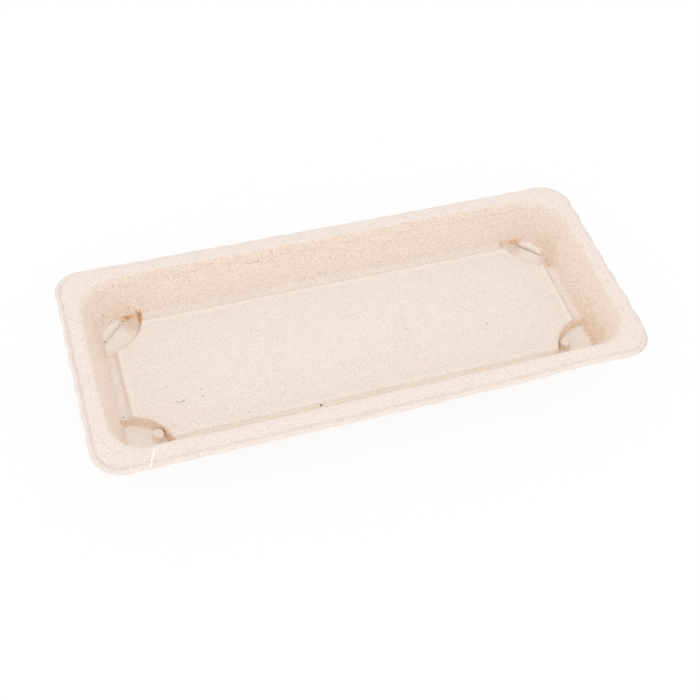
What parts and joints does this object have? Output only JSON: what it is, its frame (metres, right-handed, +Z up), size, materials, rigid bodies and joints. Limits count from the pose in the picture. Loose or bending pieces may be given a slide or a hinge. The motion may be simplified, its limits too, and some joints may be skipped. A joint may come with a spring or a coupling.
{
  "type": "bagasse sushi tray",
  "caption": "Shallow oblong moulded-pulp food tray with leaning walls, a turned-down scalloped rim, a raised floor panel, corner pockets and stacking knobs.",
  "frame": {"origin": "centre of the tray's footprint, on the plane its feet stand on", "axes": "+X along the tray's length, +Y across it away from the knobs, +Z up out of the cavity"},
  "size_m": [0.22, 0.0944, 0.0219],
  "materials": {
    "pulp": "matt pressed bagasse fibre, cream to pale tan"
  },
  "bodies": {
    "root": {"tray": "pulp"}
  },
  "joints": []
}
